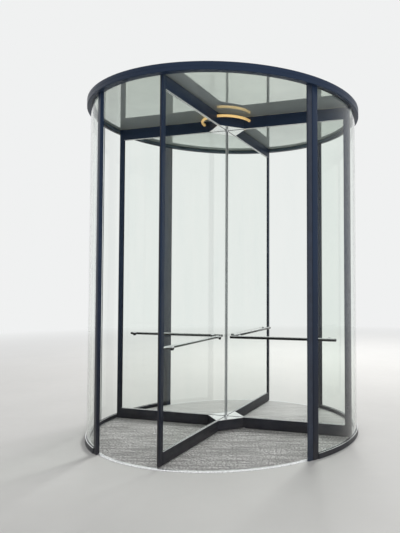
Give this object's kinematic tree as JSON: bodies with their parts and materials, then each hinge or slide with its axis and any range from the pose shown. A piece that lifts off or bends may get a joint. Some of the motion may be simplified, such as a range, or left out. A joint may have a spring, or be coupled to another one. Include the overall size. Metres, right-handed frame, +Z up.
{
  "type": "revolving door",
  "caption": "Four-wing revolving door: round drum with curved glass side walls and glass ceiling, glazed wings turning on a slim pole.",
  "frame": {"origin": "on the finished floor at the centre of the drum", "axes": "+Z up along the pole; the passage runs along Y, the front doorway faces -Y; the glazed side walls stand at +X and -X"},
  "size_m": [2.938, 2.9376, 3.471],
  "materials": {
    "mat": "ribbed entrance mat, matt",
    "polished_steel": "mirror-polished stainless steel",
    "bearing_steel": "turned steel",
    "dark_coating": "dark blue-grey satin powder coating",
    "rubber": "matt soft rubber",
    "clear_glass": "clear safety glass, slightly green",
    "ceiling_glass": "glossy dark-backed ceiling glass",
    "painted_sheet": "satin powder coating",
    "brushed_steel": "brushed stainless steel",
    "gilt_brass": "polished, gold-coloured"
  },
  "bodies": {
    "drum": {"floor_mat": "mat", "floor_ring": "polished_steel", "floor_bearing": "bearing_steel", "post_front_left": "dark_coating", "post_front_right": "dark_coating", "post_rear_left": "dark_coating", "post_rear_right": "dark_coating", "guard_front_right": "rubber", "guard_rear_left": "rubber", "sill_left": "dark_coating", "sill_right": "dark_coating", "wall_glass_left_front": "clear_glass", "wall_glass_left_rear": "clear_glass", "wall_glass_right_front": "clear_glass", "wall_glass_right_rear": "clear_glass", "ring_beam_front": "dark_coating", "ring_beam_rear": "dark_coating", "ring_beam_left": "dark_coating", "ring_beam_right": "dark_coating", "ceiling_glass": "ceiling_glass", "top_bearing": "bearing_steel", "dust_cover": "painted_sheet"},
    "rotor": {"centre_pole": "brushed_steel", "hub_bottom": "dark_coating", "hub_plate": "polished_steel", "hub_soffit": "polished_steel", "hub_top": "dark_coating", "crown_ring": "gilt_brass", "front_bottom_rail": "dark_coating", "front_top_rail": "dark_coating", "front_stile": "dark_coating", "front_glass": "clear_glass", "front_push_bar": "brushed_steel", "right_bottom_rail": "dark_coating", "right_top_rail": "dark_coating", "right_stile": "dark_coating", "right_glass": "clear_glass", "right_push_bar": "brushed_steel", "rear_bottom_rail": "dark_coating", "rear_top_rail": "dark_coating", "rear_stile": "dark_coating", "rear_glass": "clear_glass", "rear_push_bar": "brushed_steel", "left_bottom_rail": "dark_coating", "left_top_rail": "dark_coating", "left_stile": "dark_coating", "left_glass": "clear_glass", "left_push_bar": "brushed_steel"}
  },
  "joints": [
    {"name": "rotor_spin", "type": "hinge", "parent": "drum", "child": "rotor", "pos_m": [0, 0, 0], "axis": [0, 0, 1], "continuous": true}
  ]
}
